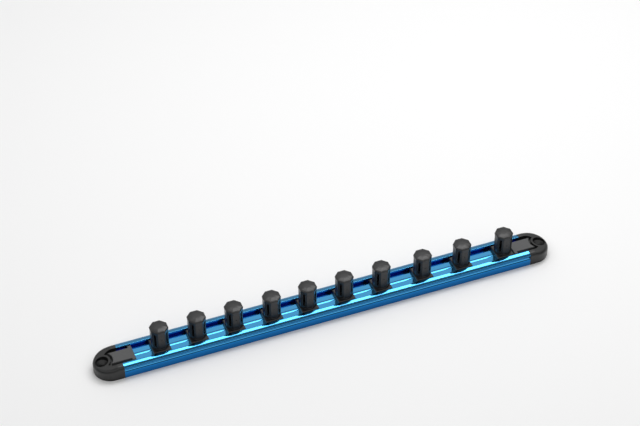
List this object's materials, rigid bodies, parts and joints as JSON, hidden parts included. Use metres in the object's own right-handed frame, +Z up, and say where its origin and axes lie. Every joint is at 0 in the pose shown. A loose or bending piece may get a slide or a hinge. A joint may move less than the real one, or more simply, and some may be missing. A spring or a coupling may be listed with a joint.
{
  "type": "socket rail",
  "caption": "Aluminium socket rail: slotted channel with sliding shoes that carry quarter-turn octagonal studs, stop plates and screw-down end caps.",
  "frame": {"origin": "centre of the rail's length and width, on the plane that it rests on", "axes": "+X along the rail towards the right end of the picture, +Y to the rear, +Z up along the studs"},
  "size_m": [0.3456, 0.0248, 0.0282],
  "materials": {
    "anodised_rail": "blue anodised, drawn lines along the length",
    "cap_plastic": "black, fine texture",
    "plate_plastic": "dark grey, satin",
    "shoe_plastic": "black, satin",
    "stud_plastic": "black, satin"
  },
  "bodies": {
    "rail": {"rail": "anodised_rail", "end_cap_left": "cap_plastic", "end_cap_right": "cap_plastic", "stop_plate_left": "plate_plastic", "stop_plate_right": "plate_plastic"},
    "shoe_1": {"shoe_1": "shoe_plastic"},
    "stud_1": {"stud_1": "stud_plastic"},
    "shoe_2": {"shoe_2": "shoe_plastic"},
    "stud_2": {"stud_2": "stud_plastic"},
    "shoe_3": {"shoe_3": "shoe_plastic"},
    "stud_3": {"stud_3": "stud_plastic"},
    "shoe_4": {"shoe_4": "shoe_plastic"},
    "stud_4": {"stud_4": "stud_plastic"},
    "shoe_5": {"shoe_5": "shoe_plastic"},
    "stud_5": {"stud_5": "stud_plastic"},
    "shoe_6": {"shoe_6": "shoe_plastic"},
    "stud_6": {"stud_6": "stud_plastic"},
    "shoe_7": {"shoe_7": "shoe_plastic"},
    "stud_7": {"stud_7": "stud_plastic"},
    "shoe_8": {"shoe_8": "shoe_plastic"},
    "stud_8": {"stud_8": "stud_plastic"},
    "shoe_9": {"shoe_9": "shoe_plastic"},
    "stud_9": {"stud_9": "stud_plastic"},
    "shoe_10": {"shoe_10": "shoe_plastic"},
    "stud_10": {"stud_10": "stud_plastic"}
  },
  "joints": [
    {"name": "shoe_1_slide", "type": "slide", "parent": "rail", "child": "shoe_1", "axis": [1, 0, 0], "range_m": [-0.01176, 0.00675]},
    {"name": "stud_1_turn", "type": "hinge", "parent": "shoe_1", "child": "stud_1", "pos_m": [-0.12474, 0, 0.0175], "axis": [0, 0, 1], "range_deg": [0, 90]},
    {"name": "shoe_2_slide", "type": "slide", "parent": "rail", "child": "shoe_2", "axis": [1, 0, 0], "range_m": [-0.00675, 0.00675]},
    {"name": "stud_2_turn", "type": "hinge", "parent": "shoe_2", "child": "stud_2", "pos_m": [-0.09764, 0, 0.0175], "axis": [0, 0, 1], "range_deg": [0, 90]},
    {"name": "shoe_3_slide", "type": "slide", "parent": "rail", "child": "shoe_3", "axis": [1, 0, 0], "range_m": [-0.00675, 0.00722]},
    {"name": "stud_3_turn", "type": "hinge", "parent": "shoe_3", "child": "stud_3", "pos_m": [-0.07054, 0, 0.0175], "axis": [0, 0, 1], "range_deg": [0, 90]},
    {"name": "shoe_4_slide", "type": "slide", "parent": "rail", "child": "shoe_4", "axis": [1, 0, 0], "range_m": [-0.00722, 0.00668]},
    {"name": "stud_4_turn", "type": "hinge", "parent": "shoe_4", "child": "stud_4", "pos_m": [-0.0425, 0, 0.0175], "axis": [0, 0, 1], "range_deg": [0, 90]},
    {"name": "shoe_5_slide", "type": "slide", "parent": "rail", "child": "shoe_5", "axis": [1, 0, 0], "range_m": [-0.00668, 0.00709]},
    {"name": "stud_5_turn", "type": "hinge", "parent": "shoe_5", "child": "stud_5", "pos_m": [-0.01555, 0, 0.0175], "axis": [0, 0, 1], "range_deg": [0, 90]},
    {"name": "shoe_6_slide", "type": "slide", "parent": "rail", "child": "shoe_6", "axis": [1, 0, 0], "range_m": [-0.00709, 0.00742]},
    {"name": "stud_6_turn", "type": "hinge", "parent": "shoe_6", "child": "stud_6", "pos_m": [0.01222, 0, 0.0175], "axis": [0, 0, 1], "range_deg": [0, 90]},
    {"name": "shoe_7_slide", "type": "slide", "parent": "rail", "child": "shoe_7", "axis": [1, 0, 0], "range_m": [-0.00742, 0.00921]},
    {"name": "stud_7_turn", "type": "hinge", "parent": "shoe_7", "child": "stud_7", "pos_m": [0.04066, 0, 0.0175], "axis": [0, 0, 1], "range_deg": [0, 90]},
    {"name": "shoe_8_slide", "type": "slide", "parent": "rail", "child": "shoe_8", "axis": [1, 0, 0], "range_m": [-0.00921, 0.0087]},
    {"name": "stud_8_turn", "type": "hinge", "parent": "shoe_8", "child": "stud_8", "pos_m": [0.07268, 0, 0.0175], "axis": [0, 0, 1], "range_deg": [0, 90]},
    {"name": "shoe_9_slide", "type": "slide", "parent": "rail", "child": "shoe_9", "axis": [1, 0, 0], "range_m": [-0.0087, 0.00982]},
    {"name": "stud_9_turn", "type": "hinge", "parent": "shoe_9", "child": "stud_9", "pos_m": [0.10368, 0, 0.0175], "axis": [0, 0, 1], "range_deg": [0, 90]},
    {"name": "shoe_10_slide", "type": "slide", "parent": "rail", "child": "shoe_10", "axis": [1, 0, 0], "range_m": [-0.00982, 0.00029]},
    {"name": "stud_10_turn", "type": "hinge", "parent": "shoe_10", "child": "stud_10", "pos_m": [0.13691, 0, 0.0175], "axis": [0, 0, 1], "range_deg": [0, 90]}
  ]
}
